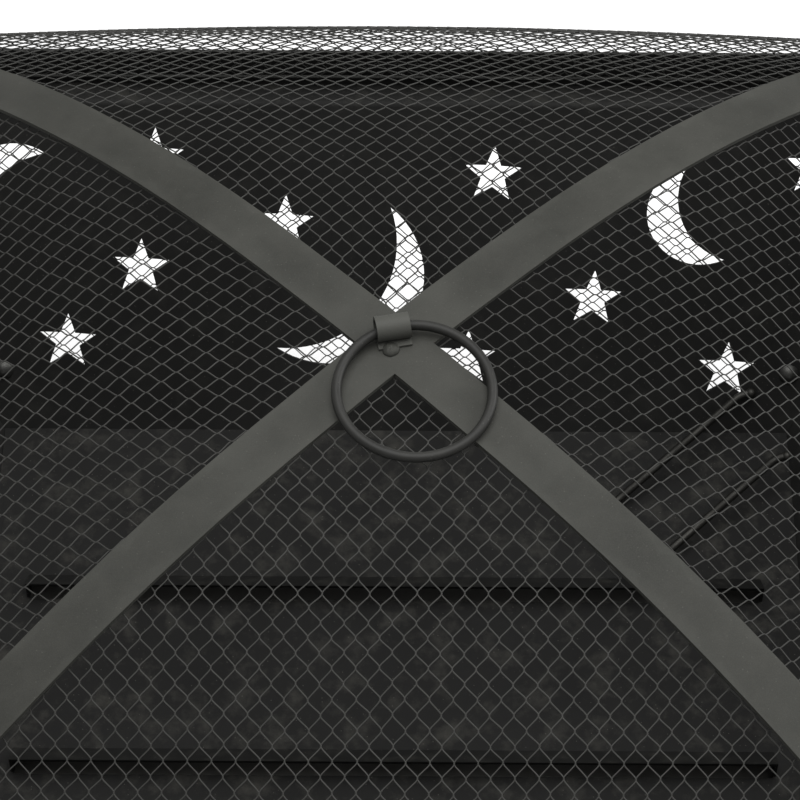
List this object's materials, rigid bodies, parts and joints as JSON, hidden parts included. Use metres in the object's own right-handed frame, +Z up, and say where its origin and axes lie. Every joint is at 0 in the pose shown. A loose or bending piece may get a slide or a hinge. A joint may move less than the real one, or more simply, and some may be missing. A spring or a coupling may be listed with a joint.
{
  "type": "fire pit with grate",
  "caption": "Square steel fire pit on folded legs: pierced sloping walls lined with wire mesh, lift-out louvred grate, loose wire lifter, and a domed wire-mesh spark screen with cross straps and a swinging ring.",
  "frame": {"origin": "on the ground, under the middle of the pan", "axes": "+Z up, +X to the right and -Y towards the front of the pit, where the louvres open; the ring lies to the front"},
  "size_m": [0.685, 0.685, 0.5399],
  "materials": {
    "pan_paint": "satin powder coat",
    "leg_paint": "satin powder coat",
    "grate_paint": "satin heat-resistant paint",
    "lid_paint": "satin powder coat",
    "strap_paint": "satin powder coat",
    "mesh_coating": "satin baked coating on wire mesh",
    "ring_paint": "satin powder coat",
    "lifter_wire": "dull drawn wire",
    "rivets": "satin powder coat",
    "fasteners": "black zinc plate"
  },
  "bodies": {
    "pit": {"wall_front": "pan_paint", "wall_back": "pan_paint", "wall_left": "pan_paint", "wall_right": "pan_paint", "pan_bottom": "pan_paint", "leg_front_left": "leg_paint", "leg_front_right": "leg_paint", "leg_back_left": "leg_paint", "leg_back_right": "leg_paint", "leg_bolts": "fasteners", "leg_nuts": "fasteners", "lining_front": "mesh_coating", "lining_back": "mesh_coating", "lining_left": "mesh_coating", "lining_right": "mesh_coating"},
    "grate": {"grate_plate": "grate_paint"},
    "lifter": {"grate_lifter": "lifter_wire"},
    "lid": {"lid_band": "lid_paint", "lid_cross": "strap_paint", "screen_front": "mesh_coating", "screen_back": "mesh_coating", "screen_left": "mesh_coating", "screen_right": "mesh_coating", "lid_lug": "strap_paint", "lug_weld": "strap_paint", "corner_rivets": "rivets"},
    "ring": {"lid_ring": "ring_paint"}
  },
  "joints": [
    {"name": "grate_lift", "type": "slide", "parent": "pit", "child": "grate", "axis": [0, 0, 1], "range_m": [0, 0.18]},
    {"name": "lifter_lift", "type": "slide", "parent": "grate", "child": "lifter", "axis": [0, 0, 1], "range_m": [0, 0.06]},
    {"name": "lid_lift", "type": "slide", "parent": "pit", "child": "lid", "axis": [0, 0, 1], "range_m": [0, 0.3]},
    {"name": "ring_swing", "type": "hinge", "parent": "lid", "child": "ring", "pos_m": [-0.0012, 0.004, 0.5338], "axis": [-0.9563, -0.2924, 0], "range_deg": [0, 185]}
  ]
}
